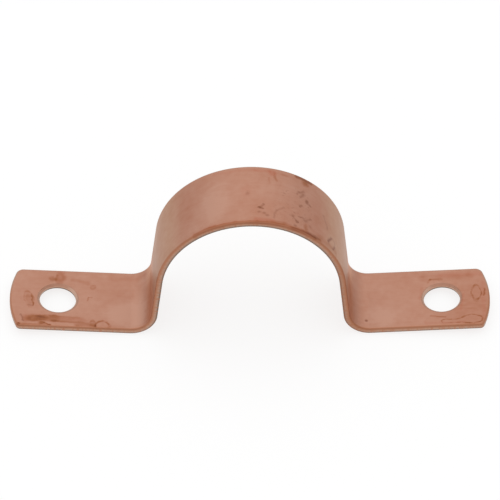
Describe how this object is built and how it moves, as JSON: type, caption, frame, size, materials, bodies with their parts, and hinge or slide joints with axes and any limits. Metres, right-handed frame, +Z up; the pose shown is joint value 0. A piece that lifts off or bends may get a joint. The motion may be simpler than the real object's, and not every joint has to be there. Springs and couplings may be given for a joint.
{
  "type": "pipe clip",
  "caption": "Copper saddle clip for a pipe: a half-round strap on splayed legs, with a rounded, punched foot on each side for a screw.",
  "frame": {"origin": "midway between the feet and across the strip, on the surface that the two foot bends rest on", "axes": "+X from the left foot to the right foot, +Y along the pipe, +Z up from the wall to the arch's crown"},
  "size_m": [0.0764, 0.0126, 0.0246],
  "materials": {
    "copper": "satin"
  },
  "bodies": {
    "root": {"pipe_clip": "copper"}
  },
  "joints": []
}
